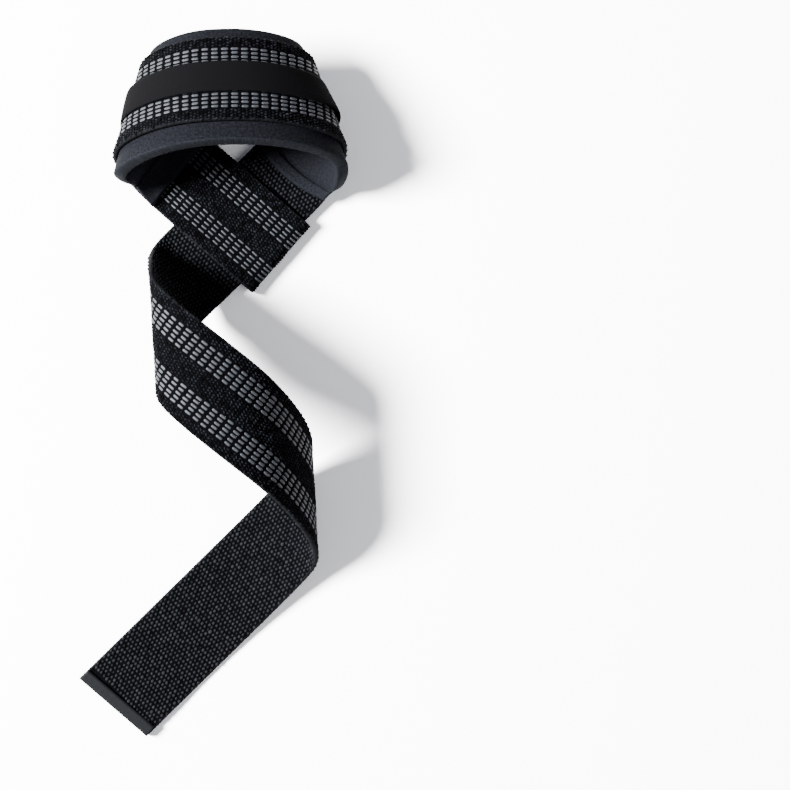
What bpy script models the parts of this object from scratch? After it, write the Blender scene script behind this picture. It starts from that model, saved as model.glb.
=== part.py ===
"""A weightlifting wrist strap: padded loop, folded eye and a curled tail.

Lengths are in metres and angles in degrees. The strap lies on the floor, z = 0, seen by its user from -Y.
All shapes are worked out about the crossing, where the tail goes through the eye, and the finished
model is then moved so that its origin is the middle of its underside.
"""

import math

import bpy
import numpy as np
from mathutils import Matrix

# Webbing
WEBBING_WIDTH = 0.038
WEBBING_THICKNESS = 0.002
LAYER_GAP = 0.0003
EDGE_ROUND = 0.0005

# Wrist loop, a strip laid round an oval cone that lies on the floor
LOOP_SPAN = 0.1142
LOOP_RISE = 0.0590
CONE_REACH = 0.1726
CONE_LEAN = -0.0089
LOOP_EASE = 0.040

# Cross-section of the cone over the crossing: shares of half the span and of the rise
LOOP_SECTION = (
    # across, height
    (-0.60, 0.074),
    (-1.00, 0.422),
    (-0.53, 0.918),
    (-0.02, 1.000),
    (0.54, 0.896),
    (1.00, 0.466),
    (0.605, 0.068),
)

# Eye, the webbing's first end folded back over the tail
EYE_END = 0.044
EYE_DROP = 0.011

# Tail, a strip wound once round an oval roll that lies on the floor
TAIL_LENGTH = 0.3095
ROLL_SPAN = 0.059
ROLL_RISE = 0.0484
ROLL_OFFSET = -0.004
ROLL_ANGLE = 41.3
ROLL_LEAN = 3.15
ROLL_EASE = 0.038
END_SLANT = 0.0032

# Cross-section of the roll, from where the tail leaves the floor to where it lands: shares of half
# the span and of the rise
ROLL_SECTION = (
    # across, height
    (0.77, 0.000),
    (-0.27, 0.092),
    (-0.955, 0.596),
    (-1.008, 0.761),
    (0.014, 1.000),
    (0.602, 0.840),
    (0.948, 0.229),
    (0.442, 0.076),
    (-0.77, 0.000),
)

# Pad inside the wrist loop
PAD_THICKNESS = 0.0055
PAD_START = 0.0335
PAD_BACK_OFF = 0.0285
PAD_NEAR_OVERHANG = 0.010
PAD_FAR_OVERHANG = 0.0054
PAD_ROUND = 0.0008

# Outline and thickness of the pad from its start to its end: shares of its length, overhangs and thickness
PAD_PROFILE = (
    # along, near overhang, far overhang, thickness
    (0.000, 0.05, 0.10, 0.36),
    (0.080, 0.05, 0.10, 0.36),
    (0.120, 0.60, 0.75, 1.00),
    (0.180, 0.95, 1.00, 0.95),
    (0.250, 0.90, 1.00, 0.90),
    (0.500, 0.80, 1.00, 1.00),
    (0.750, 0.80, 1.00, 0.90),
    (0.880, 0.65, 1.00, 1.00),
    (0.940, 0.45, 0.60, 0.90),
    (0.975, 0.05, 0.10, 0.36),
    (1.000, 0.05, 0.10, 0.36),
)

# Smooth band along the outside of the loop
BAND_WIDTH = 0.0136
BAND_THICKNESS = 0.0008
BAND_START = 0.050
BAND_BACK_OFF = 0.050
BAND_SHIFT = -0.0005

# Binding folded over the end of the tail
BINDING_DEPTH = 0.0048
BINDING_THICKNESS = 0.0005

# Spacing of the facets, and of the points between which the surface's facing is taken
LOOP_STEP = 0.0030
TAIL_STEP = 0.0045
RULING_FADE = 0.045
PAD_FADE = 0.045
BAND_FADE = 0.010
NEARBY = 0.0004
FOLD_STEPS = 8
SECTION_SAMPLES = 6000
WEBBING_COLUMNS = 5

COLOURS = {
    # linear red, green and blue, then roughness
    "webbing": (0.0040, 0.0045, 0.0052, 0.85),
    "wrist_pad": (0.030, 0.033, 0.040, 0.75),
    "centre_band": (0.0110, 0.0115, 0.0130, 0.60),
    "end_binding": (0.0140, 0.0150, 0.0175, 0.65),
}

LAYER = WEBBING_THICKNESS + LAYER_GAP
HALF_WIDTH = WEBBING_WIDTH / 2
HALF_THICKNESS = WEBBING_THICKNESS / 2


def ease(value):
    """Go from 0 to 1 as value does, with no slope or bend at either end."""
    t = np.clip(value, 0.0, 1.0)
    return t ** 3 * (t * (6 * t - 15) + 10)


def curve_through(points, count):
    """A cubic spline through the points with both ends running level towards -X, at count places."""
    points = np.asarray(points, float)
    steps = np.hypot(*np.diff(points, axis=0).T)
    places = np.concatenate([[0.0], np.cumsum(steps)])
    last = len(points) - 1
    matrix = np.eye(last + 1)
    slopes = np.tile((-1.0, 0.0), (last + 1, 1))
    chords = np.diff(points, axis=0) / steps[:, None]
    for i in range(1, last):
        before, after = 1 / steps[i - 1], 1 / steps[i]
        matrix[i, i - 1:i + 2] = (before, 2 * (before + after), after)
        slopes[i] = 3 * (chords[i - 1] * before + chords[i] * after)
    slopes = np.linalg.solve(matrix, slopes)
    where = np.linspace(0.0, places[-1], count)
    i = np.clip(np.searchsorted(places, where, side="right") - 1, 0, last - 1)
    t = ((where - places[i]) / steps[i])[:, None]
    width = steps[i][:, None]
    return ((1 + 2 * t) * (1 - t) ** 2 * points[i] + t * (1 - t) ** 2 * width * slopes[i]
            + t * t * (3 - 2 * t) * points[i + 1] + t * t * (t - 1) * width * slopes[i + 1])


def running_length(points):
    """Length along a line of points up to each point."""
    return np.concatenate([[0.0], np.cumsum(np.linalg.norm(np.diff(points, axis=0), axis=1))])


def interpolate(where, places, points):
    """Points of a line at the given lengths along it."""
    return np.stack([np.interp(where, places, column) for column in points.T], axis=-1)


def heading(angle):
    """Unit vectors along a flat strip that runs at an angle, in radians, and across it to its left."""
    along = np.array([math.cos(angle), math.sin(angle), 0.0])
    across = np.array([-math.sin(angle), math.cos(angle), 0.0])
    return along, across


# The cone of the wrist loop: directions from its tip to its cross-section, by unrolled angle
CONE_TIP = np.array([CONE_LEAN, CONE_REACH, 0.0])
loop_outline = [(0.0, 0.0)] + [(a * LOOP_SPAN / 2, h * LOOP_RISE) for a, h in LOOP_SECTION] + [(0.0, 0.0)]
loop_outline = curve_through(loop_outline, SECTION_SAMPLES)
cone_rays = np.column_stack([loop_outline[:, 0], np.zeros(SECTION_SAMPLES), loop_outline[:, 1]]) - CONE_TIP
cone_rays /= np.linalg.norm(cone_rays, axis=1)[:, None]
cone_angles = running_length(cone_rays)
TIP_DISTANCE = np.linalg.norm(CONE_TIP)
ARCH_DISTANCE = TIP_DISTANCE * math.cos(cone_angles[-1] / 2)
LOOP_LENGTH = 2 * TIP_DISTANCE * math.sin(cone_angles[-1] / 2)

# The roll of the tail: its cross-section by length, with the floor on either side
roll_outline = [(ROLL_OFFSET + a * ROLL_SPAN / 2, h * ROLL_RISE) for a, h in ROLL_SECTION]
roll_outline = curve_through(roll_outline, SECTION_SAMPLES)
roll_floor = np.array([[TAIL_LENGTH, 0.0]])
roll_outline = np.vstack([roll_outline[:1] + roll_floor, roll_outline, roll_outline[-1:] - roll_floor])
roll_lengths = running_length(roll_outline)
first_pass = roll_outline[:SECTION_SAMPLES // 8]
ROLL_START = np.interp(0.0, -first_pass[:, 0], roll_lengths[:SECTION_SAMPLES // 8])

EYE_HEADING = math.atan2(CONE_REACH, CONE_LEAN) + math.pi / 2 - cone_angles[-1] / 2
TAIL_HEADING = math.pi + math.radians(ROLL_ANGLE + ROLL_LEAN)
EYE_ALONG, EYE_ACROSS = heading(EYE_HEADING)
TAIL_ALONG, TAIL_ACROSS = heading(TAIL_HEADING)

# The tail's edge crosses the eye a little askew, and the fold clears the farther of its ends
askew = TAIL_HEADING - EYE_HEADING - math.pi / 2
CROSSING_REACH = HALF_WIDTH / math.cos(askew) + HALF_WIDTH * abs(math.tan(askew))
FLAT_REACH = CROSSING_REACH + LAYER_GAP
WEBBING_END = LOOP_LENGTH + TAIL_LENGTH


def on_cone(s, v):
    """A strip laid straight on the unrolled cone: polar place about its tip, then the ray at that angle."""
    radius = np.hypot(s - LOOP_LENGTH / 2, ARCH_DISTANCE + v)
    angle = cone_angles[-1] / 2 + np.arctan2(s - LOOP_LENGTH / 2, ARCH_DISTANCE + v)
    return CONE_TIP + radius[..., None] * interpolate(angle, cone_angles, cone_rays)


def on_roll(s, v):
    """A strip laid aslant on the unrolled roll, s from the crossing."""
    turn = math.radians(ROLL_ANGLE)
    round_it = ROLL_START + s * math.cos(turn) - v * math.sin(turn)
    down_it = s * math.sin(turn) + v * math.cos(turn)
    section = interpolate(round_it, roll_lengths, roll_outline)
    lean = math.radians(ROLL_LEAN)
    x = section[..., 0] * math.cos(lean) + down_it * math.sin(lean)
    y = section[..., 0] * math.sin(lean) - down_it * math.cos(lean)
    return np.stack([x, y, section[..., 1]], axis=-1)


def blend(first, second, amount):
    return first + (second - first) * amount[..., None]


def middle(s, v):
    """Middle of the webbing: s along it from the crossing, v across it, towards the user in the loop.

    Flat on the floor at the crossing, then on the cone, flat again through the eye one layer
    higher, and then on the roll and along the floor.
    """
    s, v = np.broadcast_arrays(np.asarray(s, float), np.asarray(v, float))
    tail = s - LOOP_LENGTH
    through_eye = tail[..., None] * TAIL_ALONG + v[..., None] * TAIL_ACROSS
    out_of_eye = s[..., None] * EYE_ALONG + v[..., None] * EYE_ACROSS
    cone = on_cone(np.clip(s, 0.0, LOOP_LENGTH), v)
    rising = blend(out_of_eye, cone, ease((s - FLAT_REACH) / LOOP_EASE))
    falling = blend(through_eye, cone, ease((-tail - FLAT_REACH) / LOOP_EASE))
    rolled = blend(through_eye, on_roll(np.maximum(tail, 0.0), v), ease((tail - FLAT_REACH) / ROLL_EASE))
    loop = np.where((s < LOOP_LENGTH / 2)[..., None], rising, falling)
    points = np.where((tail > 0)[..., None], rolled, loop)
    over_eye = ease((s - FLAT_REACH) / (LOOP_LENGTH - 2 * FLAT_REACH))
    down_again = ease((tail - FLAT_REACH) / (TAIL_LENGTH / 2 - FLAT_REACH))
    on_binding = ease((tail - TAIL_LENGTH + 8 * BINDING_DEPTH) / (6 * BINDING_DEPTH))
    lift = HALF_THICKNESS + LAYER * (over_eye - down_again) + (BINDING_THICKNESS + LAYER_GAP) * on_binding
    points = points.copy()
    points[..., 2] += lift
    return points


def facing(s, v):
    """Unit vectors square to the webbing on its plain side, which is the inside of the loop."""
    along = middle(s + NEARBY, v) - middle(s - NEARBY, v)
    across = middle(s, v + NEARBY) - middle(s, v - NEARBY)
    square = np.cross(along, across)
    return square / np.linalg.norm(square, axis=-1)[..., None]


def off_webbing(s, v, height):
    """Points at a height over the middle of the webbing, on its plain side."""
    s, v, height = np.broadcast_arrays(s, v, height)
    return middle(s, v) + height[..., None] * facing(s, v)


def along_rulings(s, v, first, last, fade):
    """Turn the stations of a strip into the straight lines of the cone and of the roll.

    Each station keeps its place s on the middle line, and leans with v: towards the cone's tip in
    the loop, and with the roll's axis in the tail. The lean fades out towards the ends first and last,
    which are square to the strip.
    """
    lean = np.minimum((s - LOOP_LENGTH / 2) / ARCH_DISTANCE, math.tan(math.radians(ROLL_ANGLE)))
    return s + v * lean * ease((s - first) / fade) * ease((last - s) / fade)


def eye_height(s):
    """Height of the eye's top layer over the bottom one: two layers over the tail, then one."""
    return LAYER * (2 - ease((s - FLAT_REACH) / EYE_DROP))


def eye_layer(s, v, height):
    """The eye's top layer lies face down on the bottom one, so its plain side is underneath."""
    s, v, height = np.broadcast_arrays(s, v, height)
    return off_webbing(s, v, eye_height(s) - height)


def eye_fold(turn, v, height):
    """The fold turns round the tail's edge, from the top layer at turn 0 to the bottom one at pi."""
    turn, v, height = np.broadcast_arrays(turn, v, height)
    s = np.full(turn.shape, -CROSSING_REACH)
    centre = off_webbing(s, v, LAYER)
    outwards = np.cos(turn)[..., None] * np.array([0.0, 0.0, 1.0]) - np.sin(turn)[..., None] * EYE_ALONG
    return centre + (LAYER - height)[..., None] * outwards


def stations(first, last, step):
    """Even places from first to last, about a step apart."""
    return np.linspace(first, last, max(2, int(round(abs(last - first) / step)) + 1))


def loop_stations(first, last):
    """The webbing's own places round the loop that lie between two ends, and the ends themselves."""
    places = stations(-CROSSING_REACH, LOOP_LENGTH, LOOP_STEP)
    inside = (places > first + LOOP_STEP / 4) & (places < last - LOOP_STEP / 4)
    return np.concatenate([[first], places[inside], [last]])


def ring_across(low, high, round_off):
    """Outline of a flat ribbon across the strap: places across it, and shares of half its thickness.

    It has the webbing's own columns, so that its facets lie along the webbing's, and blunted edges.
    """
    columns = np.linspace(-HALF_WIDTH, HALF_WIDTH, WEBBING_COLUMNS)
    inside = columns[(columns > low + 2 * round_off) & (columns < high - 2 * round_off)]
    across = np.concatenate([[low + round_off], inside, [high - round_off]])
    outer = [(a, -1.0) for a in across]
    inner = [(a, 1.0) for a in across[::-1]]
    return np.array(outer + [(high, 0.0)] + inner + [(low, 0.0)])


def add_solid(name, rings):
    """Skin a row of closed rings, shape (rings, points, 3), and close both ends."""
    rings = np.asarray(rings)
    count, size = rings.shape[:2]
    faces = []
    for i in range(count - 1):
        for j in range(size):
            k = (j + 1) % size
            faces.append((i * size + j, i * size + k, (i + 1) * size + k, (i + 1) * size + j))
    faces.append(tuple(range(size))[::-1])
    faces.append(tuple((count - 1) * size + j for j in range(size)))
    mesh = bpy.data.meshes.new(name)
    mesh.from_pydata(rings.reshape(-1, 3).tolist(), [], faces)
    mesh.validate()
    mesh.shade_smooth()
    mesh.set_sharp_from_angle(angle=math.radians(40))
    piece = bpy.data.objects.new(name, mesh)
    bpy.context.scene.collection.objects.link(piece)
    red, green, blue, roughness = COLOURS[name]
    material = bpy.data.materials.new(name)
    material.use_nodes = True
    shader = material.node_tree.nodes["Principled BSDF"]
    shader.inputs["Base Color"].default_value = (red, green, blue, 1.0)
    shader.inputs["Roughness"].default_value = roughness
    shader.inputs["Metallic"].default_value = 0.0
    mesh.materials.append(material)
    return piece


def make_webbing():
    """One length of webbing: the eye's top layer, the fold, the bottom layer, the loop and the tail."""
    ring = ring_across(-HALF_WIDTH, HALF_WIDTH, EDGE_ROUND)
    v = ring[:, 0]
    height = ring[:, 1] * HALF_THICKNESS
    top = stations(EYE_END, -CROSSING_REACH, TAIL_STEP)[:, None]
    turns = np.linspace(0.0, math.pi, FOLD_STEPS + 1)[1:-1][:, None]
    loop = stations(-CROSSING_REACH, LOOP_LENGTH, LOOP_STEP)[:, None]
    tail = stations(LOOP_LENGTH, WEBBING_END, TAIL_STEP)[1:, None]
    strip = along_rulings(np.concatenate([loop, tail]), v, -CROSSING_REACH, WEBBING_END, RULING_FADE)
    strip = strip - END_SLANT * v / WEBBING_WIDTH * ease((strip - WEBBING_END) / RULING_FADE + 1)
    rings = [
        eye_layer(top, v, height),
        eye_fold(turns, v, height),
        off_webbing(strip, v, height),
    ]
    return add_solid("webbing", np.concatenate(rings))


def make_pad():
    """A padded strip on the inside of the loop, with thin flaps at both ends for its seams.

    Its start lies over the cut end of the eye's top layer.
    """
    end = LOOP_LENGTH - PAD_BACK_OFF
    s = loop_stations(PAD_START, end)
    rows = np.array(PAD_PROFILE)
    share = (s - PAD_START) / (end - PAD_START)
    near, far, thick = (np.interp(share, rows[:, 0], rows[:, i]) for i in (1, 2, 3))
    near = near * PAD_NEAR_OVERHANG
    far = far * PAD_FAR_OVERHANG
    thick = thick * PAD_THICKNESS
    over_eye = 1 - ease((s - EYE_END - LOOP_STEP) / (2 * EYE_DROP))
    seat = HALF_THICKNESS + LAYER_GAP + LAYER * over_eye
    ring = ring_across(-HALF_WIDTH - PAD_FAR_OVERHANG, HALF_WIDTH + PAD_NEAR_OVERHANG, PAD_ROUND)
    beyond_near = np.maximum(ring[:, 0] - HALF_WIDTH, 0.0) / PAD_NEAR_OVERHANG
    beyond_far = np.maximum(-ring[:, 0] - HALF_WIDTH, 0.0) / PAD_FAR_OVERHANG
    over_webbing = np.clip(ring[:, 0], -HALF_WIDTH, HALF_WIDTH)
    v = over_webbing + near[:, None] * beyond_near - far[:, None] * beyond_far
    height = seat[:, None] + (1 + ring[:, 1]) * thick[:, None] / 2
    return add_solid("wrist_pad", off_webbing(along_rulings(s[:, None], v, s[0], s[-1], PAD_FADE), v, height))


def make_band():
    """A smooth tape sewn along the outside of the loop."""
    s = loop_stations(BAND_START, LOOP_LENGTH - BAND_BACK_OFF)[:, None]
    ring = ring_across(BAND_SHIFT - BAND_WIDTH / 2, BAND_SHIFT + BAND_WIDTH / 2, BAND_THICKNESS / 4)
    v = ring[:, 0]
    height = -(HALF_THICKNESS + LAYER_GAP + (1 - ring[:, 1]) * BAND_THICKNESS / 2)
    return add_solid("centre_band", off_webbing(along_rulings(s, v, s[0], s[-1], BAND_FADE), v, height))


def make_binding():
    """A tape folded over the end of the tail: under it, round its cut edge and back on top."""
    clear = HALF_THICKNESS + LAYER_GAP
    outer = clear + BINDING_THICKNESS
    reach = BINDING_DEPTH
    # Outline of the folded tape: distance past the webbing's end, and height over its middle
    outline = np.array([
        (-reach, -clear), (LAYER_GAP, -clear), (LAYER_GAP, clear), (-reach, clear),
        (-reach, outer), (LAYER_GAP, outer), (LAYER_GAP + BINDING_THICKNESS, clear),
        (LAYER_GAP + BINDING_THICKNESS, -clear), (LAYER_GAP, -outer), (-reach, -outer),
    ])
    v = np.linspace(-HALF_WIDTH, HALF_WIDTH, 5)[:, None]
    slant = -END_SLANT * v / WEBBING_WIDTH
    s = WEBBING_END + slant + outline[:, 0]
    return add_solid("end_binding", off_webbing(s, v, outline[:, 1]))


for old in list(bpy.data.objects):
    bpy.data.objects.remove(old, do_unlink=True)

pieces = [make_webbing(), make_pad(), make_band(), make_binding()]

# Move the model so that its origin is the middle of its underside
corners = np.array([vertex.co for piece in pieces for vertex in piece.data.vertices])
low, high = corners.min(axis=0), corners.max(axis=0)
origin = np.array([(low[0] + high[0]) / 2, (low[1] + high[1]) / 2, low[2]])
for piece in pieces:
    piece.data.transform(Matrix.Translation(-origin))
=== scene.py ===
"""A weightlifting wrist strap on a pale studio floor: padded loop, folded eye and a curled tail."""

import math

import bpy
import numpy as np
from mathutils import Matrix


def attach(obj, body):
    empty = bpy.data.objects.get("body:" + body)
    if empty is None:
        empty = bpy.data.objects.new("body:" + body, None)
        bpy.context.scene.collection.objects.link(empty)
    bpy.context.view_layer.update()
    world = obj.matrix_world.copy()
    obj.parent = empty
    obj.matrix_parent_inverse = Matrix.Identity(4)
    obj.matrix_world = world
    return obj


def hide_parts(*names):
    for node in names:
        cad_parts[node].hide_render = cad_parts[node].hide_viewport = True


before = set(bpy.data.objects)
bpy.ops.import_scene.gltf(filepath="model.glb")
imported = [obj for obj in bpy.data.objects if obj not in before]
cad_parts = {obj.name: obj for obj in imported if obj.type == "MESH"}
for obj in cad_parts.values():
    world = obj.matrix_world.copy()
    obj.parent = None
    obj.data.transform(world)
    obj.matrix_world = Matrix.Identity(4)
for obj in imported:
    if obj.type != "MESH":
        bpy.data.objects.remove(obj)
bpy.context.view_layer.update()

# Camera. A 78 mm lens straight above the strap, which lies left of the middle of the picture. Its place and
# the lamps' are counted from the crossing, where the strap goes through its own eye.
CROSSING = np.array([0.0106, 0.07187, 0.0])
CAMERA_FROM_CROSSING = (0.0668, -0.0738, 0.737)
LENS_MM = 77.9
SENSOR_MM = 36.0

camera_data = bpy.data.cameras.new("overhead_camera")
camera_data.lens = LENS_MM
camera_data.sensor_width = SENSOR_MM
camera_data.clip_end = 10.0
camera = bpy.data.objects.new("overhead_camera", camera_data)
camera.location = CROSSING + CAMERA_FROM_CROSSING
bpy.context.scene.collection.objects.link(camera)
bpy.context.scene.camera = camera


# Studio floor. A sheet of matt white card, swept out far past the view, with no edge in sight. It lies a
# tenth of a millimetre under the strap, so that the two never share a plane.
FLOOR_HALF = 1.5
FLOOR_DROP = 0.0001


def srgb(code, alpha=1.0):
    """An sRGB hex colour as linear red, green and blue: each channel c is ((c + 0.055) / 1.055) ** 2.4."""
    channels = np.array([int(code[i:i + 2], 16) / 255 for i in (1, 3, 5)])
    linear = np.where(channels <= 0.04045, channels / 12.92, ((channels + 0.055) / 1.055) ** 2.4)
    return (*linear, alpha)


def add_node(material, kind, settings=None, **inputs):
    """A shader node with its settings and its inputs, each a value or another node's output.

    An input goes by its name, with _ for a space, or by its number, as i0, i1 and so on.
    """
    node = material.node_tree.nodes.new(kind)
    for name, value in (settings or {}).items():
        setattr(node, name, value)
    for name, value in inputs.items():
        numbered = name[0] == "i" and name[1:].isdigit()
        socket = node.inputs[int(name[1:]) if numbered else name.replace("_", " ")]
        if isinstance(value, bpy.types.NodeSocket):
            material.node_tree.links.new(value, socket)
        else:
            socket.default_value = value
    return node


def new_material(name, roughness, specular=None):
    """A material with a Principled shader linked to its output, and that shader."""
    material = bpy.data.materials.new(name)
    material.use_nodes = True
    shader = material.node_tree.nodes["Principled BSDF"]
    shader.inputs["Roughness"].default_value = roughness
    if specular is not None:
        shader.inputs["Specular IOR Level"].default_value = specular
    return material, shader


def add_mesh(name, points, faces, uv=None, materials=(), face_material=None):
    """A smooth mesh at the origin from arrays: points (n, 3), quads (m, 4) and a UV for every point."""
    points = np.asarray(points, np.float32).reshape(-1, 3)
    faces = np.asarray(faces, np.int32).reshape(-1, 4)
    mesh = bpy.data.meshes.new(name)
    mesh.vertices.add(len(points))
    mesh.vertices.foreach_set("co", points.ravel())
    mesh.loops.add(faces.size)
    mesh.loops.foreach_set("vertex_index", faces.ravel())
    mesh.polygons.add(len(faces))
    mesh.polygons.foreach_set("loop_start", np.arange(0, faces.size, 4, dtype=np.int32))
    mesh.polygons.foreach_set("use_smooth", np.ones(len(faces), bool))
    if uv is not None:
        layer = mesh.uv_layers.new(name="UVMap")
        layer.uv.foreach_set("vector", np.asarray(uv, np.float32).reshape(-1, 2)[faces.ravel()].ravel())
    for material in materials:
        mesh.materials.append(material)
    if face_material is not None:
        mesh.polygons.foreach_set("material_index", np.asarray(face_material, np.int32).ravel())
    mesh.update()
    mesh.validate()
    piece = bpy.data.objects.new(name, mesh)
    bpy.context.scene.collection.objects.link(piece)
    return piece


def quads(rows, columns, closed=False):
    """Corner numbers of the quads of a grid of points, rows by columns, joined round if closed."""
    i = np.arange(rows - 1)[:, None]
    j = np.arange(columns if closed else columns - 1)[None, :]
    k = (j + 1) % columns
    corners = (i * columns + j, i * columns + k, (i + 1) * columns + k, (i + 1) * columns + j)
    return np.stack(corners, -1).reshape(-1, 4)


# Matt card: no gloss at all, and the fine grain of uncoated paper, about 1 mm across
card, shader = new_material("matt_white_card", roughness=0.9)
card_grain = add_node(card, "ShaderNodeTexNoise", Scale=900.0, Detail=3.0)
card_bump = add_node(card, "ShaderNodeBump", Strength=0.02, Distance=0.0002,
                     Height=card_grain.outputs["Fac"])
shader.inputs["Base Color"].default_value = srgb("#f4f4f5")
card.node_tree.links.new(card_bump.outputs[0], shader.inputs["Normal"])

across_floor = np.linspace(-FLOOR_HALF, FLOOR_HALF, 3)
floor_points = np.stack([*np.meshgrid(across_floor, across_floor), np.full((3, 3), -FLOOR_DROP)], -1)
floor = add_mesh("studio_floor", floor_points, quads(3, 3), materials=[card])

# Studio light. A soft box low on the left, a weak one on the lower right, and an even bright room.
LIGHTS = {
    # place of the lamp from the crossing, size, power in watts
    "key_softbox": ((-1.76, 0.15, 1.41), 0.80, 1150.0),
    "fill_softbox": ((0.90, -0.40, 1.00), 1.20, 14.0),
}
ROOM_COLOUR = "#e6eaf6"
ROOM_STRENGTH = 0.60
for name, (from_crossing, size, power) in LIGHTS.items():
    lamp_data = bpy.data.lights.new(name, "AREA")
    lamp_data.shape = "DISK"
    lamp_data.size = size
    lamp_data.energy = power
    lamp = bpy.data.objects.new(name, lamp_data)
    lamp.location = CROSSING + from_crossing
    # It faces the crossing: tipped by its angle from straight above, then turned to its bearing
    x, y, z = from_crossing
    lamp.rotation_euler = (math.atan2(math.hypot(x, y), z), 0.0, math.atan2(x, -y))
    bpy.context.scene.collection.objects.link(lamp)

room = bpy.data.worlds.new("bright_room")
room.use_nodes = True
room.node_tree.nodes["Background"].inputs["Color"].default_value = srgb(ROOM_COLOUR)
room.node_tree.nodes["Background"].inputs["Strength"].default_value = ROOM_STRENGTH
bpy.context.scene.world = room


# Webbing. One length of black cotton webbing, 38 mm wide and 2 mm thick. Its first end is folded back to
# make the eye and sewn under the pad, then it goes round the wrist, through the eye, and over in one curl.
WEBBING_WIDTH = 0.038
WEBBING_THICKNESS = 0.002
HALF_WIDTH = WEBBING_WIDTH / 2
HALF_THICKNESS = WEBBING_THICKNESS / 2
LAYER = 0.0023
LAYER_GAP = 0.0003
FLAT_MARGIN = 0.0003
LOOP_SPAN = 0.1142
LOOP_RISE = 0.0590
CONE_REACH = 0.1726
CONE_LEAN = -0.0089
LOOP_EASE = 0.040
LOOP_SECTION = (
    # across, height: shares of half the span and of the rise
    (-0.60, 0.074), (-1.00, 0.422), (-0.53, 0.918), (-0.02, 1.000), (0.54, 0.896), (1.00, 0.466),
    (0.605, 0.068),
)
EYE_END = 0.044
EYE_DROP = 0.011
TAIL_LENGTH = 0.3095
ROLL_SPAN = 0.059
ROLL_RISE = 0.0484
ROLL_OFFSET = -0.004
ROLL_ANGLE = 41.3
ROLL_LEAN = 3.15
ROLL_EASE = 0.038
ROLL_SECTION = (
    # across, height: shares of half the span and of the rise
    (0.77, 0.000), (-0.27, 0.092), (-0.955, 0.596), (-1.008, 0.761), (0.014, 1.000), (0.602, 0.840),
    (0.948, 0.229), (0.442, 0.076), (-0.77, 0.000),
)
END_SLANT = 0.0032
SLANT_RUN = 0.045
BINDING_DEPTH = 0.0048
BINDING_THICKNESS = 0.0005
BINDING_LIFT_START = 8 * BINDING_DEPTH
BINDING_LIFT_RUN = 6 * BINDING_DEPTH
SAMPLES = 6000
SLOPE_STEP = 0.0004


def ease(value):
    """0 to 1 with no slope or bend at either end: 6 t^5 - 15 t^4 + 10 t^3."""
    t = np.clip(value, 0.0, 1.0)
    return t ** 3 * (t * (6 * t - 15) + 10)


def spline(points, count):
    """Points at even lengths along the chords of a cubic spline that is level towards -X at both ends.

    The slopes at the given points are those that make its bend run on through each of them, and between two
    of them it is the cubic with their places and slopes.
    """
    points = np.asarray(points, float)
    steps = np.hypot(*np.diff(points, axis=0).T)
    places = np.concatenate([[0.0], np.cumsum(steps)])
    chords = np.diff(points, axis=0) / steps[:, None]
    last = len(points) - 1
    inner = np.arange(1, last)
    matrix = np.eye(last + 1)
    matrix[inner, inner - 1] = 1 / steps[:-1]
    matrix[inner, inner] = 2 / steps[:-1] + 2 / steps[1:]
    matrix[inner, inner + 1] = 1 / steps[1:]
    slopes = np.tile((-1.0, 0.0), (last + 1, 1))
    slopes[1:-1] = 3 * (chords[:-1] / steps[:-1, None] + chords[1:] / steps[1:, None])
    slopes = np.linalg.solve(matrix, slopes)
    where = np.linspace(0.0, places[-1], count)
    i = np.clip(np.searchsorted(places, where, side="right") - 1, 0, last - 1)
    t = ((where - places[i]) / steps[i])[:, None]
    width = steps[i][:, None]
    return ((1 + 2 * t) * (1 - t) ** 2 * points[i] + t * (1 - t) ** 2 * width * slopes[i]
            + t * t * (3 - 2 * t) * points[i + 1] + t * t * (t - 1) * width * slopes[i + 1])


def lengths_along(points):
    """Length along a line of points up to each point."""
    return np.concatenate([[0.0], np.cumsum(np.linalg.norm(np.diff(points, axis=0), axis=1))])


def read_off(where, places, points):
    """Points of a line at the given lengths along it."""
    return np.stack([np.interp(where, places, column) for column in points.T], axis=-1)


def heading(angle):
    """Unit vectors along a flat strip that runs at an angle, and across it to its left."""
    along = np.array([math.cos(angle), math.sin(angle), 0.0])
    return along, np.array([-along[1], along[0], 0.0])


# The loop is straight on an unrolled cone, whose rays run from its tip to the loop's section
cone_tip = np.array([CONE_LEAN, CONE_REACH, 0.0])
loop_points = [(0, 0)] + [(a * LOOP_SPAN / 2, h * LOOP_RISE) for a, h in LOOP_SECTION] + [(0, 0)]
loop_line = spline(loop_points, SAMPLES)
cone_rays = np.column_stack([loop_line[:, 0], np.zeros(SAMPLES), loop_line[:, 1]]) - cone_tip
cone_rays /= np.linalg.norm(cone_rays, axis=1)[:, None]
cone_angles = lengths_along(cone_rays)
half_cone = cone_angles[-1] / 2
ARCH_DISTANCE = np.linalg.norm(cone_tip) * math.cos(half_cone)
LOOP_LENGTH = 2 * np.linalg.norm(cone_tip) * math.sin(half_cone)

# The curl is straight on an unrolled roll, whose section starts and ends flat on the floor
roll_line = spline([(ROLL_OFFSET + a * ROLL_SPAN / 2, h * ROLL_RISE) for a, h in ROLL_SECTION], SAMPLES)
floor_run = np.array([[TAIL_LENGTH, 0.0]])
roll_line = np.vstack([roll_line[:1] + floor_run, roll_line, roll_line[-1:] - floor_run])
roll_lengths = lengths_along(roll_line)
first_pass = slice(0, SAMPLES // 8)
roll_start = np.interp(0.0, -roll_line[first_pass, 0], roll_lengths[first_pass])

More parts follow.
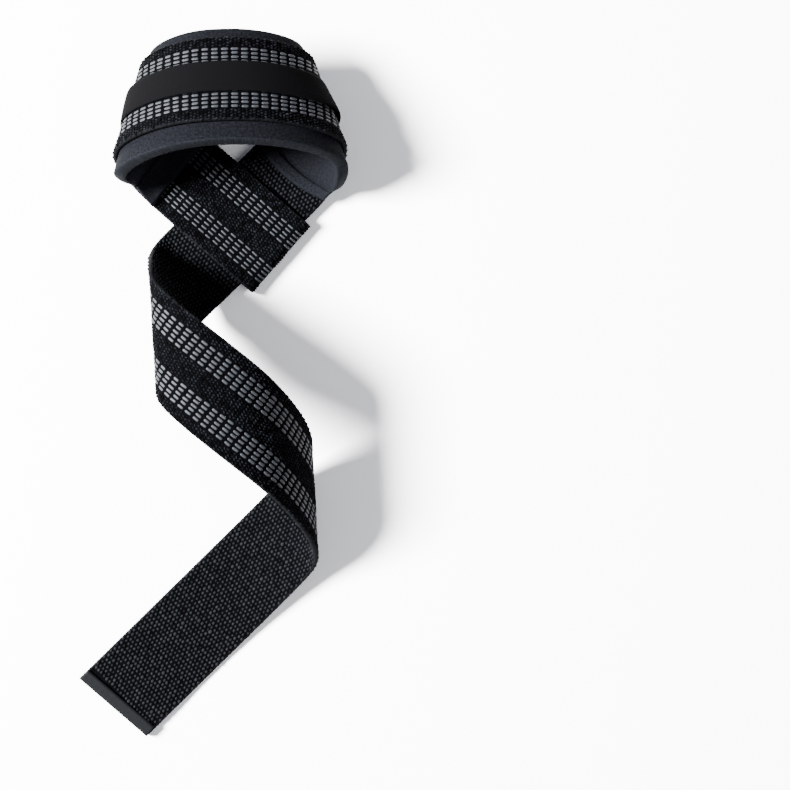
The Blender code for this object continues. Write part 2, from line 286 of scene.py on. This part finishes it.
eye_heading = math.atan2(CONE_REACH, CONE_LEAN) + math.pi / 2 - half_cone
tail_heading = math.pi + math.radians(ROLL_ANGLE + ROLL_LEAN)
EYE_ALONG, EYE_ACROSS = heading(eye_heading)
TAIL_ALONG, TAIL_ACROSS = heading(tail_heading)
askew = tail_heading - eye_heading - math.pi / 2
CROSSING_REACH = HALF_WIDTH / math.cos(askew) + HALF_WIDTH * abs(math.tan(askew))
FLAT_REACH = CROSSING_REACH + FLAT_MARGIN
WEBBING_END = LOOP_LENGTH + TAIL_LENGTH
TOP_LENGTH = EYE_END + CROSSING_REACH
FOLD_LENGTH = math.pi * LAYER
CROSSING_Q = TOP_LENGTH + FOLD_LENGTH + CROSSING_REACH
WHOLE_LENGTH = CROSSING_Q + WEBBING_END


def on_cone(s, v):
    """A strip laid straight on the unrolled cone: polar place about its tip, then the ray at that angle."""
    radius = np.hypot(s - LOOP_LENGTH / 2, ARCH_DISTANCE + v)
    angle = half_cone + np.arctan2(s - LOOP_LENGTH / 2, ARCH_DISTANCE + v)
    return cone_tip + radius[..., None] * read_off(angle, cone_angles, cone_rays)


def on_roll(s, v):
    """A strip laid aslant on the unrolled roll: s and v, turned, give its ways round and down the roll."""
    turn, lean = math.radians(ROLL_ANGLE), math.radians(ROLL_LEAN)
    section = read_off(roll_start + s * math.cos(turn) - v * math.sin(turn), roll_lengths, roll_line)
    down_it = s * math.sin(turn) + v * math.cos(turn)
    return np.stack([
        section[..., 0] * math.cos(lean) + down_it * math.sin(lean),
        section[..., 0] * math.sin(lean) - down_it * math.cos(lean),
        section[..., 1],
    ], axis=-1)


def middle(s, v):
    """Middle of the webbing at length s from the crossing and v across.

    It is flat at the crossing, goes on the cone, flat through the eye, on the roll and to the floor, and
    from each to the next by an eased share of the way. It is raised by a layer where it lies on the eye,
    and by the binding's thickness near its end.
    """
    tail = s - LOOP_LENGTH
    out_of_eye = s[..., None] * EYE_ALONG + v[..., None] * EYE_ACROSS
    through_eye = tail[..., None] * TAIL_ALONG + v[..., None] * TAIL_ACROSS
    cone = on_cone(np.clip(s, 0.0, LOOP_LENGTH), v)
    rising = out_of_eye + (cone - out_of_eye) * ease((s - FLAT_REACH) / LOOP_EASE)[..., None]
    falling = through_eye + (cone - through_eye) * ease((-tail - FLAT_REACH) / LOOP_EASE)[..., None]
    roll = on_roll(np.maximum(tail, 0.0), v)
    rolled = through_eye + (roll - through_eye) * ease((tail - FLAT_REACH) / ROLL_EASE)[..., None]
    loop = np.where((s < LOOP_LENGTH / 2)[..., None], rising, falling)
    points = np.where((tail > 0)[..., None], rolled, loop)
    over_eye = ease((s - FLAT_REACH) / (LOOP_LENGTH - 2 * FLAT_REACH))
    down_again = ease((tail - FLAT_REACH) / (TAIL_LENGTH / 2 - FLAT_REACH))
    on_binding = ease((tail - TAIL_LENGTH + BINDING_LIFT_START) / BINDING_LIFT_RUN)
    points[..., 2] += HALF_THICKNESS + LAYER * (over_eye - down_again)
    points[..., 2] += (BINDING_THICKNESS + LAYER_GAP) * on_binding
    return points


def off_webbing(s, v, height):
    """Points at a height over the webbing's middle on its plain side, along its slopes' cross product."""
    s, v, height = (np.array(a, float) for a in np.broadcast_arrays(s, v, height))
    along = middle(s + SLOPE_STEP, v) - middle(s - SLOPE_STEP, v)
    across = middle(s, v + SLOPE_STEP) - middle(s, v - SLOPE_STEP)
    square = np.cross(along, across)
    square /= np.linalg.norm(square, axis=-1)[..., None]
    return middle(s, v) + height[..., None] * square


def place(q, v, height):
    """Points by length q from the webbing's cut end, v across, and a height on its plain side.

    First comes the eye's top layer, which lies upside down on the strip, then half a turn round the fold,
    and then the strip itself.
    """
    q, v, height = (np.array(a, float) for a in np.broadcast_arrays(q, v, height))
    top_s = EYE_END - q
    seat = LAYER * (2 - ease((top_s - FLAT_REACH) / EYE_DROP))
    top = off_webbing(np.clip(top_s, -CROSSING_REACH, EYE_END), v, seat - height)
    turn = np.clip((q - TOP_LENGTH) / FOLD_LENGTH, 0.0, 1.0)[..., None] * math.pi
    centre = off_webbing(np.full(q.shape, -CROSSING_REACH), v, LAYER)
    spoke = np.cos(turn) * np.array([0.0, 0.0, 1.0]) - np.sin(turn) * EYE_ALONG
    fold = centre + (LAYER - height)[..., None] * spoke
    strip = off_webbing(np.maximum(q - CROSSING_Q, -CROSSING_REACH), v, height)
    folded = np.where((q < TOP_LENGTH + FOLD_LENGTH)[..., None], fold, strip)
    return np.where((q < TOP_LENGTH)[..., None], top, folded) + CROSSING


def tube(rows, columns, first=0):
    """Quads of a closed tube of rings: its wall, and at both ends a ladder between the ring's two halves.

    The ladder's first rung joins the ring's point number `first` to the one before it.
    """
    half = np.arange(columns // 2)
    low, high = (first + half) % columns, (first - 1 - half) % columns
    ladder = np.stack([low[:-1], low[1:], high[1:], high[:-1]], -1)
    return np.vstack([quads(rows, columns, closed=True), ladder[:, ::-1], (rows - 1) * columns + ladder])


# Dyed cotton: dull and almost black. The ground is what shows between the raised yarn, coloured
# darker than the beads as painted shade in the hollows of the weave. The selvedge, the rounded edge,
# is coloured a little lighter as a painted highlight along it.
def cotton(name, dark, light, uneven, specular, even_at=0.5):
    """Matt yarn with fine twisted fibre as bump, in a shade that wanders from dark to light.

    The shade follows a noise with a patch every 2.4 mm, from dark where it is `uneven` below `even_at` to
    light at as much above, and the fibre is a noise of 0.33 mm.
    """
    material, shader = new_material(name, roughness=0.8, specular=specular)
    on_strap = add_node(material, "ShaderNodeUVMap", {"uv_map": "UVMap"}).outputs["UV"]
    wander = add_node(material, "ShaderNodeTexNoise", Vector=on_strap, Scale=420.0, Detail=3.0)
    spread = add_node(material, "ShaderNodeMapRange", Value=wander.outputs["Fac"],
                      From_Min=even_at - uneven, From_Max=even_at + uneven)
    fibre = add_node(material, "ShaderNodeTexNoise", Vector=on_strap, Scale=3000.0, Detail=2.0)
    shade = add_node(material, "ShaderNodeMix", {"data_type": "RGBA"}, i0=spread.outputs["Result"],
                     i6=srgb(dark), i7=srgb(light))
    bump = add_node(material, "ShaderNodeBump", Strength=0.7, Distance=0.00012, Height=fibre.outputs["Fac"])
    material.node_tree.links.new(shade.outputs[2], shader.inputs["Base Color"])
    material.node_tree.links.new(bump.outputs[0], shader.inputs["Normal"])
    return material


WEFT_PITCH_MM = 1.9
WARP_PITCH_MM = 1.68
# Ground: painted shade, darker than the yarn of the beads, for the hollows between them
ground = cotton("black_cotton_ground_painted_shade", "#000000", "#020203", 0.3, 0.005)
# Selvedge: a painted highlight, lighter than the ground, along the webbing's rounded edge
selvedge = cotton("black_cotton_selvedge_painted_highlight", "#020203", "#08090a", 0.2, 0.015)

# The ribbon's outline across, once round: a flat face, a rounded selvedge, then the other two
EDGE_ROUND = 0.0007
SCALLOP = 0.00012
FACE_POINTS = 25
STATIONS = 1281
side = np.linspace(-1.0, 1.0, FACE_POINTS) * (HALF_WIDTH - EDGE_ROUND)
bend = np.linspace(-np.pi / 2, np.pi / 2, 7)[1:-1]
rounded = HALF_WIDTH - EDGE_ROUND + EDGE_ROUND * np.cos(bend)
across = np.concatenate([side, rounded, -side, -rounded])
flat = np.ones(FACE_POINTS)
height = HALF_THICKNESS * np.concatenate([-flat, np.sin(bend), flat, -np.sin(bend)])
q = np.linspace(0.0, WHOLE_LENGTH, STATIONS)[:, None]
# The selvedge is scalloped by the weft that turns back in it, and the tail's end is cut a little aslant
bulge = SCALLOP * np.abs(np.sin(np.pi * q * 1000 / WEFT_PITCH_MM))
scallop = 1 + bulge / HALF_WIDTH * (np.abs(across) > HALF_WIDTH - EDGE_ROUND)
slanted = q - END_SLANT * across / WEBBING_WIDTH * ease((q - WHOLE_LENGTH) / SLANT_RUN + 1)
grid = place(slanted, across * scallop, height)
rows, columns = grid.shape[:2]
uv = np.stack(np.broadcast_arrays(slanted, across), -1)
# In each half of the ring, the selvedge's faces, which carry the painted highlight, are those from the flat
# face's last point on
is_selvedge = np.arange(columns) % (columns // 2) >= FACE_POINTS - 1
webbing_parts = np.concatenate([np.tile(is_selvedge, rows - 1), np.zeros(columns - 2, bool)])
webbing = add_mesh("webbing_strap", grid, tube(rows, columns), uv, [ground, selvedge], webbing_parts)
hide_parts("webbing")
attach(webbing, "root")


# Raised yarn. Where a warp thread rides over a weft it stands up as a bead, in staggered columns. The beads
# are plump on the plain side and slim on the grip side, where the stripes take the place of some of them.
PLUMP_RINGS = np.array([
    # reach from its middle and height, as shares of its half size and of its rise
    (1.00, -0.25), (0.82, 0.62), (0.42, 1.00),
])
PLUMP_SIZE = (0.00160, 0.00130)
PLUMP_RISE = 0.00034
SLIM_RINGS = np.array([(1.00, -0.25), (0.50, 1.00)])
SLIM_SIZE = (0.00160, 0.00080)
SLIM_RISE = 0.00030
SLIM_WEFT_PITCH_MM = 1.5
SLIM_WARP_PITCH_MM = 1.25
SLIM_SLANT = 0.4
FIRST_BEAD = 0.001
LINES_EACH_WAY = 16
BARE_EDGE = 0.0004
UNEVENNESS = 0.12
UNEVEN_TURN = 1.6
UNEVEN_PLACE = 0.0008
ONE_SHADE = 0.2
STRIPE_PLACES = (-0.0094, 0.0094)
STRIPE_HALF = 0.0048
# The pad hides the plain side between these lengths from the loop's two ends
PAD_COVERS = (0.040, 0.034)


def beads(name, material, side, rings, size, rise, slant, pitch, columns_at, keep, seed):
    """Yarn beads on one side of the webbing: six-sided domes of two or three rings, flat above and below.

    A bead's points are its middle plus half its size times (cos, sin) of six turns of 60 degrees, each
    ring drawn in and raised as the table says. Every other column is moved half a pitch across and slants
    the other way, and every bead is moved, turned and sized by chance. Its UVs are drawn in, so that it has
    one shade.
    """
    chance = np.random.default_rng(seed)
    lines = np.arange(-LINES_EACH_WAY, LINES_EACH_WAY + 1) * pitch
    other_way = np.where(np.arange(len(columns_at)) % 2, 1.0, -1.0)[:, None] + 0 * lines
    at_q = columns_at[:, None] + 0 * lines
    at_v = lines + pitch / 4 * other_way
    use = keep(at_q, at_v) & (np.abs(at_v) < HALF_WIDTH - BARE_EDGE)
    at_q, at_v, other_way = (values[use][:, None, None] for values in (at_q, at_v, other_way))
    move_q, move_v, turned, grown = chance.normal(0.0, 1.0, (4, len(at_q), 1, 1))
    grown = np.clip(1 + UNEVENNESS * grown, 0.4, 1.5)
    angle = np.arange(6) * np.pi / 3
    a = rings[:, :1] * size[0] / 2 * np.cos(angle) * grown
    b = rings[:, :1] * size[1] / 2 * np.sin(angle) * grown
    turned = UNEVEN_TURN * UNEVENNESS * turned + slant * other_way
    a, b = a * np.cos(turned) - b * np.sin(turned), a * np.sin(turned) + b * np.cos(turned)
    wander = UNEVEN_PLACE * UNEVENNESS
    grid = place(at_q + a + wander * move_q, at_v + b + wander * move_v,
                 side * (HALF_THICKNESS + rings[:, 1:] * rise * grown))
    # Its wall, then two quads each for the flat below and the flat above
    top = 6 * (len(rings) - 1)
    flats = [(3, 2, 1, 0), (5, 4, 3, 0), (top, top + 1, top + 2, top + 3), (top, top + 3, top + 4, top + 5)]
    one = np.vstack([quads(len(rings), 6, closed=True), flats])
    if side < 0:
        one = one[:, ::-1]
    faces = (np.arange(len(at_q))[:, None, None] * 6 * len(rings) + one).reshape(-1, 4)
    uv = np.stack(np.broadcast_arrays(at_q + ONE_SHADE * a, at_v + ONE_SHADE * b), -1)
    piece = add_mesh(name, grid, faces, uv, [material])
    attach(piece, "root")
    return piece


pad_from, pad_to = CROSSING_Q + PAD_COVERS[0], CROSSING_Q + LOOP_LENGTH - PAD_COVERS[1]
last_bead = WHOLE_LENGTH - BINDING_DEPTH
plain_yarn = cotton("black_cotton_yarn", "#040405", "#101113", 0.2, 0.02)
plain_beads = beads(
    "plain_side_yarn", plain_yarn, 1, PLUMP_RINGS, PLUMP_SIZE, PLUMP_RISE, 0.0, WARP_PITCH_MM / 1000,
    columns_at=np.arange(TOP_LENGTH + FOLD_LENGTH + FIRST_BEAD, last_bead, WEFT_PITCH_MM / 1000),
    keep=lambda q, v: (q < pad_from) | (q > pad_to), seed=3)
slim_yarn = cotton("black_cotton_slim_yarn", "#000000", "#0d0e11", 0.15, 0.012, even_at=0.53)
grip_beads = beads(
    "grip_side_yarn", slim_yarn, -1, SLIM_RINGS, SLIM_SIZE, SLIM_RISE, SLIM_SLANT,
    SLIM_WARP_PITCH_MM / 1000, columns_at=np.arange(FIRST_BEAD, last_bead, SLIM_WEFT_PITCH_MM / 1000),
    keep=lambda q, v: np.abs(np.abs(v) - STRIPE_PLACES[1]) > STRIPE_HALF, seed=5)

# Grip dashes. Two stripes of light grey yarn floats on the webbing's outer side, five rows in each. Every
# float passes over three wefts and dips under the next, and the floats of a stripe lie side by side.
DASH_PITCH = 0.0040
DASH_LENGTH = 0.0033
DASH_WIDTH = 0.00100
DASH_RISE = 0.00026
DASH_SINK = 0.00006
FIRST_DASH = 0.0022
ROW_PITCH = 0.00187
DASH_SPREAD = 0.35
SPREAD_START = 0.020
SPREAD_RUN = 0.030
# Chance shifts along and across, a chance turn, and a chance share of growth
DASH_JITTER = (0.00009, 0.00006, 0.03)
DASH_GROWTH = 0.05
rows_across = np.concatenate([stripe + ROW_PITCH * np.arange(-2, 3) for stripe in STRIPE_PLACES])
columns_along = np.arange(FIRST_DASH, WHOLE_LENGTH - BINDING_DEPTH - DASH_LENGTH, DASH_PITCH)
a, b = np.meshgrid(np.linspace(-1, 1, 7), np.linspace(-1, 1, 6), indexing="ij")
# A float's outline narrows to round ends, and its back is a half round: sqrt((1 - a^6)(1 - b^2))
dash_q = a * DASH_LENGTH / 2 * (1 - 0.1 * (a * b) ** 2)
dash_v = b * DASH_WIDTH / 2 * (0.45 + 0.55 * np.sqrt(1 - a ** 4))
dash_h = DASH_RISE * np.sqrt((1 - a ** 6) * (1 - b ** 2)) - DASH_SINK
# The floats are slimmest in the eye, where the webbing is sewn flat, and spread where it bends
spread = 1 + DASH_SPREAD * ease((columns_along - CROSSING_Q - SPREAD_START) / SPREAD_RUN)
dash_v = spread[:, None, None, None] * dash_v
jitter = np.random.default_rng(7)
number = (len(columns_along), len(rows_across))
shift_q, shift_v, turn = np.reshape(DASH_JITTER, (3, 1, 1, 1, 1)) * jitter.normal(0, 1, (3, *number, 1, 1))
grown = 1 + jitter.normal(0, DASH_GROWTH, (*number, 1, 1))
q = columns_along[:, None, None, None] + shift_q + dash_q * grown - turn * dash_v
v = rows_across[None, :, None, None] + shift_v + dash_v + turn * dash_q
grid = place(q, v, -(HALF_THICKNESS + dash_h * grown))
# Its back is a grid of 7 by 6 points, its underside six quads from rim to rim, and each end two more
under = 6 * np.arange(6)[:, None] + np.array([6, 11, 5, 0])
ends = np.array([(4, 1, 0, 5), (3, 2, 1, 4), (37, 40, 41, 36), (38, 39, 40, 37)])
one = np.vstack([quads(7, 6), under, ends])
faces = (np.arange(number[0] * number[1])[:, None, None] * 7 * 6 + one).reshape(-1, 4)

# Grey polyester yarn: a soft sheen, a little darker in the twist lines, which come every 1.4 mm
grip_yarn, shader = new_material("grey_polyester_yarn", roughness=0.55, specular=0.1)
on_strap = add_node(grip_yarn, "ShaderNodeUVMap", {"uv_map": "UVMap"}).outputs["UV"]
twist = add_node(grip_yarn, "ShaderNodeTexNoise", Vector=on_strap, Scale=700.0, Detail=3.0)
yarn_shade = add_node(grip_yarn, "ShaderNodeMix", {"data_type": "RGBA"}, i0=twist.outputs["Fac"],
                      i6=srgb("#090a0b"), i7=srgb("#222428"))
grip_yarn.node_tree.links.new(yarn_shade.outputs[2], shader.inputs["Base Color"])
dashes = add_mesh("grip_dashes", grid, faces, np.stack([q, v + 0 * q], -1), [grip_yarn])
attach(dashes, "root")


# Wrist pad. A strip of neoprene foam faced with jersey. On its inner face the jersey is coloured lighter, as
# painted light in the shade inside the loop. Its edges are cut bare and a little rounded, and a thin flap at
# each end is sewn to the inside of the loop.
PAD_THICKNESS = 0.0055
PAD_START = 0.0335
PAD_BACK_OFF = 0.0285
PAD_NEAR_OVERHANG = 0.010
PAD_FAR_OVERHANG = 0.0054
PAD_ROUND = 0.0009
PAD_BULGE = 0.6
EYE_CLEAR = 0.003
SEAM_START = 0.0475
SEAM_END = 0.0062
SEAM_HALF = 0.0007
SEAM_DEPTH = 0.55
CUT_ROUND = 0.0016
CUT_THINNEST = 0.35
CUT_SLANT = 0.0055
CUT_BOW = 0.0030
CUT_RUN = 0.030
CUT_FROM = -0.015
CUT_WIDTH = 0.037
PAD_PROFILE = np.array([
    # along, near overhang, far overhang, thickness: shares of its length, overhangs and thickness
    (0.000, 0.05, 0.10, 0.36), (0.080, 0.05, 0.10, 0.36), (0.120, 0.60, 0.75, 1.00),
    (0.180, 0.95, 1.00, 0.95), (0.250, 0.90, 1.00, 0.90), (0.500, 0.80, 1.00, 1.00),
    (0.750, 0.80, 1.00, 0.90), (0.880, 0.65, 1.00, 1.00), (0.940, 0.45, 0.60, 0.90),
    (0.975, 0.05, 0.10, 0.36), (1.000, 0.05, 0.10, 0.36),
])


def pad_share(along, column):
    """A column of the pad's table at shares of its length, rounded off: the mean at seven places near by."""
    near_by = along[..., None] + np.linspace(-0.018, 0.018, 7)
    return np.interp(near_by, PAD_PROFILE[:, 0], PAD_PROFILE[:, column]).mean(axis=-1)


pad_end = LOOP_LENGTH - PAD_BACK_OFF
s = np.linspace(PAD_START, pad_end, 401)
along = (s - PAD_START) / (pad_end - PAD_START)
near, far, thick = (pad_share(along, i) for i in (1, 2, 3))
near = HALF_WIDTH + near * PAD_NEAR_OVERHANG
far = -HALF_WIDTH - far * PAD_FAR_OVERHANG
# A seam sinks into the pad where each flap begins, and the flaps' cut ends are rounded down
seams = sum(np.exp(-((s - seam) / SEAM_HALF) ** 2) for seam in (SEAM_START, pad_end - SEAM_END))
to_end = np.minimum(s - PAD_START, pad_end - s)
rounded_down = CUT_THINNEST + (1 - CUT_THINNEST) * np.sqrt(ease(to_end / CUT_ROUND))
thick = thick * PAD_THICKNESS * (1 - SEAM_DEPTH * seams) * rounded_down
seat = HALF_THICKNESS + LAYER_GAP + LAYER * (1 - ease((s - EYE_END - EYE_CLEAR) / (2 * EYE_DROP)))
# The outline across, once round: outer face, near cut edge, inner face, far cut edge
face = np.linspace(0.0, 1.0, 29)
corner = np.linspace(-np.pi / 2, np.pi / 2, 9)[1:-1]
edge_in = PAD_ROUND * (1 - np.abs(np.cos(corner)) ** PAD_BULGE)
width_in = (near - far - 2 * PAD_ROUND)[:, None]
v = np.concatenate([
    (far + PAD_ROUND)[:, None] + face * width_in,
    near[:, None] - edge_in,
    (near - PAD_ROUND)[:, None] - face * width_in,
    far[:, None] + edge_in,
], axis=1)
flat = np.ones(len(face))
up = np.concatenate([-flat, np.sin(corner), flat, -np.sin(corner)])
height = seat[:, None] + (1 + up) * thick[:, None] / 2
# The second end is cut a little aslant and bowed: it runs back by up to CUT_SLANT towards the near edge
across_cut = np.clip((v - CUT_FROM) / CUT_WIDTH, 0.0, 1.0)
cut_back = CUT_SLANT * across_cut - CUT_BOW * np.sin(np.pi * across_cut)
grid = off_webbing(s[:, None] - cut_back * ease((s - pad_end) / CUT_RUN + 1)[:, None], v, height) + CROSSING
rows, columns = grid.shape[:2]
# The cut edges and both rounded ends are bare foam, and the inner face is jersey coloured lighter as painted
# light in the shaded loop
column = np.arange(columns)
inner_from, inner_to = columns // 2, columns // 2 + len(face) - 1
is_edge = (column >= len(face) - 1) & (column <= inner_from) | (column > inner_to)
is_inner = (column > inner_from) & (column <= inner_to)
pad_parts = np.where(is_edge | (to_end[:-1, None] < CUT_ROUND), 1, np.where(is_inner, 2, 0)).ravel()


# Jersey on neoprene: a dull dark slate knit, with its fine upright ribs 0.5 mm apart. The foam's cut edge
# takes the same finish with coarser ribs, as its cells show no finer in the render.
def jersey(name, dark, light, rib_mm):
    """Mottled knit: a sine of its rib pitch and 0.3 mm fuzz as bump, and a shade in 0.9 mm patches."""
    material, shader = new_material(name, roughness=0.85, specular=0.02)
    on_pad = add_node(material, "ShaderNodeUVMap", {"uv_map": "UVMap"}).outputs["UV"]
    parts = add_node(material, "ShaderNodeSeparateXYZ", Vector=on_pad)
    blotch = add_node(material, "ShaderNodeTexNoise", Vector=on_pad, Scale=1100.0, Detail=4.0)
    blotch = add_node(material, "ShaderNodeMapRange", Value=blotch.outputs["Fac"],
                      From_Min=0.33, From_Max=0.67)
    rib = add_node(material, "ShaderNodeMath", {"operation": "MULTIPLY"}, i0=parts.outputs["X"],
                   i1=2000 * math.pi / rib_mm)
    rib = add_node(material, "ShaderNodeMath", {"operation": "SINE"}, i0=rib.outputs[0])
    fuzz = add_node(material, "ShaderNodeTexNoise", Vector=on_pad, Scale=3200.0, Detail=2.0)
    relief = add_node(material, "ShaderNodeMath", {"operation": "MULTIPLY_ADD"}, i0=rib.outputs[0], i1=0.25,
                      i2=fuzz.outputs["Fac"])
    shade = add_node(material, "ShaderNodeMix", {"data_type": "RGBA"}, i0=blotch.outputs["Result"],
                     i6=srgb(dark), i7=srgb(light))
    bump = add_node(material, "ShaderNodeBump", Strength=0.6, Distance=0.00008, Height=relief.outputs[0])
    material.node_tree.links.new(shade.outputs[2], shader.inputs["Base Color"])
    material.node_tree.links.new(bump.outputs[0], shader.inputs["Normal"])
    return material


pad_jersey = jersey("slate_jersey_on_neoprene", "#010102", "#08090c", 0.5)
pad_foam = jersey("neoprene_cut_edge", "#050608", "#0b0c0f", 1.1)
# Inner face: the same jersey coloured lighter, painted light for the shade inside the loop
pad_inner_painted_light = jersey("slate_jersey_inner_painted_light", "#030305", "#0b0c0f", 0.5)
# The caps' ladders start in the middle of the far cut edge, three points before the ring's first
pad_uv = np.stack([np.broadcast_to(s[:, None], v.shape), v], -1)
pad = add_mesh("neoprene_wrist_pad", grid, tube(rows, columns, first=-3), pad_uv,
               [pad_jersey, pad_foam, pad_inner_painted_light], np.concatenate([pad_parts, np.ones(columns - 2, int)]))
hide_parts("wrist_pad")
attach(pad, "root")

# Centre band. A smooth woven tape sewn along the outside of the loop, where its ends are turned in. It
# stands off a little where the loop bends most: its far edge on the left, and its near edge on the right.
BAND_WIDTH = 0.0136
BAND_THICKNESS = 0.0008
BAND_START = 0.050
BAND_SHIFT = -0.0005
BAND_GAP = 0.0002
BAND_CROWN = 0.35
BAND_EDGE_OUT = 1.01
BAND_EDGE_HEIGHT = 0.3
BAND_LIFT = 0.0016
LIFT_HALF = 0.009
TAPE_RIB_MM = 0.7
s = np.linspace(BAND_START, LOOP_LENGTH - BAND_START, 241)
# The outline across, once round: a back that falls off to both edges, an edge, the flat underside, an edge
face = np.linspace(-1.0, 1.0, 15)
ring_v = np.concatenate([face, [BAND_EDGE_OUT], face[::-1], [-BAND_EDGE_OUT]]) * BAND_WIDTH / 2 + BAND_SHIFT
crown = 1 - BAND_CROWN * face ** 8
ring_h = np.concatenate([crown, [BAND_EDGE_HEIGHT], np.zeros(len(face)), [BAND_EDGE_HEIGHT]])
# The lift is a bell curve along the band about the loop's leftmost and rightmost places
band_line = off_webbing(s, 0.0, -HALF_THICKNESS)
sides = s[band_line[:, 0].argmin()], s[band_line[:, 0].argmax()]
on_left, on_right = (np.exp(-((s[:, None] - at) / LIFT_HALF) ** 2) for at in sides)
to_near = np.clip(0.5 + (ring_v - BAND_SHIFT) / BAND_WIDTH, 0.0, 1.0)
lift = BAND_LIFT * (on_left * (1 - to_near) + on_right * to_near)
band_height = HALF_THICKNESS + BAND_GAP + lift + ring_h * BAND_THICKNESS
grid = off_webbing(s[:, None], ring_v[None, :], -band_height) + CROSSING
rows, columns = grid.shape[:2]

# Satin-woven polyester tape: flat, with a faint sheen along it and hair-fine ribs across, drawn as coarse as
# they need to be to show
tape, shader = new_material("black_polyester_tape", roughness=0.8, specular=0.005)
on_tape = add_node(tape, "ShaderNodeUVMap", {"uv_map": "UVMap"}).outputs["UV"]
parts = add_node(tape, "ShaderNodeSeparateXYZ", Vector=on_tape)
ribs = add_node(tape, "ShaderNodeMath", {"operation": "MULTIPLY"}, i0=parts.outputs["X"],
                i1=2000 * math.pi / TAPE_RIB_MM)
ribs = add_node(tape, "ShaderNodeMath", {"operation": "SINE"}, i0=ribs.outputs[0])
tape_fuzz = add_node(tape, "ShaderNodeTexNoise", Vector=on_tape, Scale=1500.0, Detail=3.0)
tape_relief = add_node(tape, "ShaderNodeMath", {"operation": "MULTIPLY_ADD"}, i0=ribs.outputs[0], i1=0.2,
                       i2=tape_fuzz.outputs["Fac"])
tape_bump = add_node(tape, "ShaderNodeBump", Strength=0.5, Distance=0.00006, Height=tape_relief.outputs[0])
tape_shade = add_node(tape, "ShaderNodeMix", {"data_type": "RGBA"}, i0=tape_fuzz.outputs["Fac"],
                      i6=srgb("#030303"), i7=srgb("#040405"))
tape.node_tree.links.new(tape_shade.outputs[2], shader.inputs["Base Color"])
tape.node_tree.links.new(tape_bump.outputs[0], shader.inputs["Normal"])
band_uv = np.stack(np.broadcast_arrays(s[:, None], ring_v[None, :]), -1)
band = add_mesh("centre_band_tape", grid, tube(rows, columns), band_uv, [tape])
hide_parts("centre_band")
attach(band, "root")

# End binding. A smooth coated tape folded over the tail's cut end and pressed flat, which stops it fraying.
# It is one sheet bent round the end, so its outline is an outer line and back along an inner one.
BINDING_WEAVE_MM = 0.9
clear = HALF_THICKNESS + LAYER_GAP
outer = clear + BINDING_THICKNESS
turn = np.linspace(-np.pi / 2, np.pi / 2, 9)
towards_end, back = np.linspace(-BINDING_DEPTH, 0, 5)[:-1], np.linspace(0, -BINDING_DEPTH, 5)[1:]
profile = np.concatenate([
    # along from the cut end, height
    np.column_stack([towards_end, np.full(4, -outer)]),
    np.column_stack([(LAYER_GAP + BINDING_THICKNESS) * np.cos(turn), outer * np.sin(turn)]),
    np.column_stack([back, np.full(4, outer)]),
    np.column_stack([towards_end, np.full(4, clear)]),
    np.column_stack([LAYER_GAP * np.cos(turn[::-1]), clear * np.sin(turn[::-1])]),
    np.column_stack([back, np.full(4, -clear)]),
])
v = np.linspace(-HALF_WIDTH, HALF_WIDTH, 39)[:, None]
s = WEBBING_END - END_SLANT * v / WEBBING_WIDTH + profile[:, 0]
grid = off_webbing(s, v, profile[:, 1]) + CROSSING
rows, columns = grid.shape[:2]

# Coated tape: pressed smooth with a low sheen, mottled in 1.7 mm patches, and pimpled by the weave under its
# coat
binding_tape, shader = new_material("coated_binding_tape", roughness=0.6, specular=0.03)
on_binding = add_node(binding_tape, "ShaderNodeUVMap", {"uv_map": "UVMap"}).outputs["UV"]
mottle = add_node(binding_tape, "ShaderNodeTexNoise", Vector=on_binding, Scale=600.0, Detail=4.0)
pimples = add_node(binding_tape, "ShaderNodeTexVoronoi", Vector=on_binding, Scale=1000 / BINDING_WEAVE_MM)
pimpled = add_node(binding_tape, "ShaderNodeBump", Strength=0.35, Distance=0.0001,
                   Height=pimples.outputs["Distance"])
coat_shade = add_node(binding_tape, "ShaderNodeMix", {"data_type": "RGBA"}, i0=mottle.outputs["Fac"],
                      i6=srgb("#040405"), i7=srgb("#08090b"))
binding_tape.node_tree.links.new(coat_shade.outputs[2], shader.inputs["Base Color"])
binding_tape.node_tree.links.new(pimpled.outputs[0], shader.inputs["Normal"])
binding_uv = np.stack([s, v + 0 * s], -1)
# The profile runs the other way round from the rings above, so its faces are turned to point outwards
binding = add_mesh("end_binding_tape", grid, tube(rows, columns)[:, ::-1], binding_uv, [binding_tape])
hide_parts("end_binding")
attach(binding, "root")
